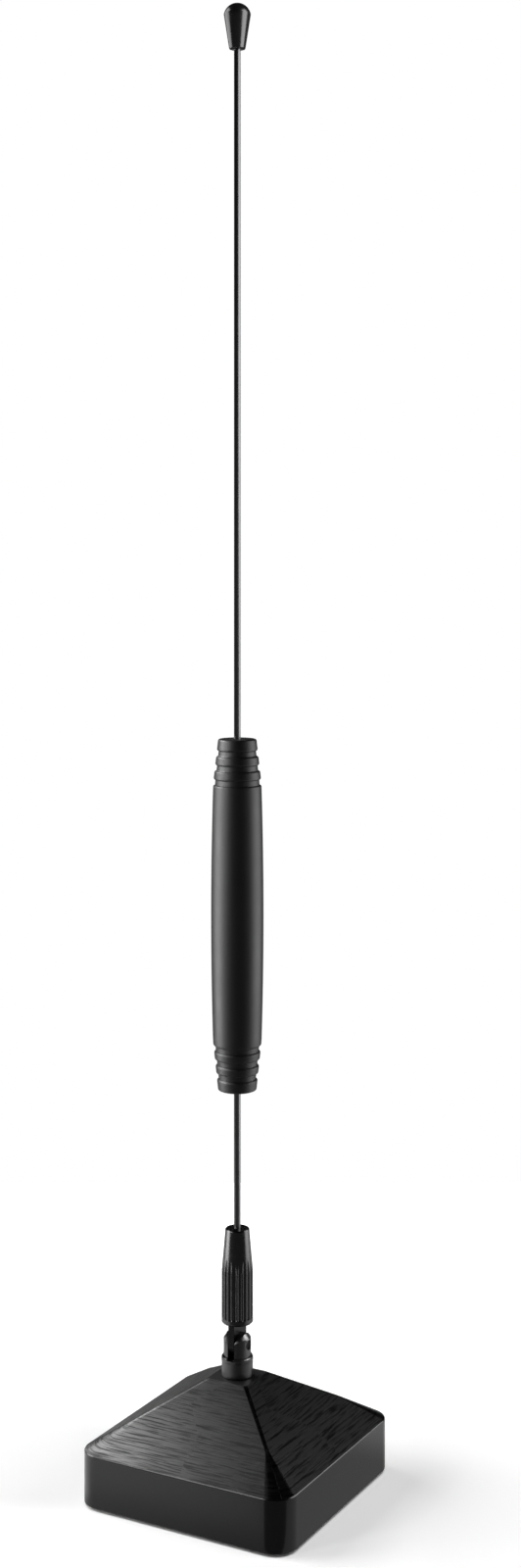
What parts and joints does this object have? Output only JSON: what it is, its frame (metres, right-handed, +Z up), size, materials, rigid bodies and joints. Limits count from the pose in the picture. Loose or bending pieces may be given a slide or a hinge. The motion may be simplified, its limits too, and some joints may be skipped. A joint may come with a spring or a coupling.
{
  "type": "indoor antenna",
  "caption": "Indoor whip antenna: weighted square base with a pyramid top, tilt knuckle, fluted sleeve, ringed loading-coil barrel on a thin rod and a cone-shaped tip.",
  "frame": {"origin": "centre of the foot pad's underside", "axes": "+Z up along the mast, -Y towards the front wall, +X to its right seen from the front"},
  "size_m": [0.07, 0.07, 0.4454],
  "materials": {
    "base_plastic": "satin moulded, brushed grain on the sloping faces",
    "plate_plastic": "matt",
    "screw_steel": "plain",
    "pad_rubber": "matt",
    "weight_steel": "rolled",
    "tag_brass": "tinned",
    "grommet_rubber": "matt",
    "knuckle_metal": "black, semi-gloss",
    "rivet_steel": "black",
    "sleeve_metal": "black, glossy",
    "rod_steel": "black, glossy",
    "ferrule_brass": "turned",
    "former_plastic": "moulded",
    "copper_wire": "enamelled",
    "barrel_plastic": "satin",
    "tip_plastic": "gloss"
  },
  "bodies": {
    "base": {"base_cover": "base_plastic", "base_plate": "plate_plastic", "base_screws": "screw_steel", "foot_pad": "pad_rubber", "ballast_weight": "weight_steel", "earth_tag": "tag_brass", "earth_screw": "screw_steel", "cable_grommet": "grommet_rubber", "knuckle_fork": "knuckle_metal", "spigot_washer": "screw_steel", "solder_tag": "tag_brass", "spigot_nut": "screw_steel", "pivot_rivet": "rivet_steel"},
    "mast": {"knuckle_tongue": "knuckle_metal", "whip_sleeve": "sleeve_metal", "lower_rod": "rod_steel", "lower_ferrule": "ferrule_brass", "coil_former": "former_plastic", "loading_coil": "copper_wire", "upper_ferrule": "ferrule_brass", "barrel_cover": "barrel_plastic", "upper_rod": "rod_steel", "tip_cap": "tip_plastic"}
  },
  "joints": [
    {"name": "mast_tilt", "type": "hinge", "parent": "base", "child": "mast", "pos_m": [0, 0, 0.043], "axis": [1, 0, 0], "range_deg": [-90, 90]}
  ]
}
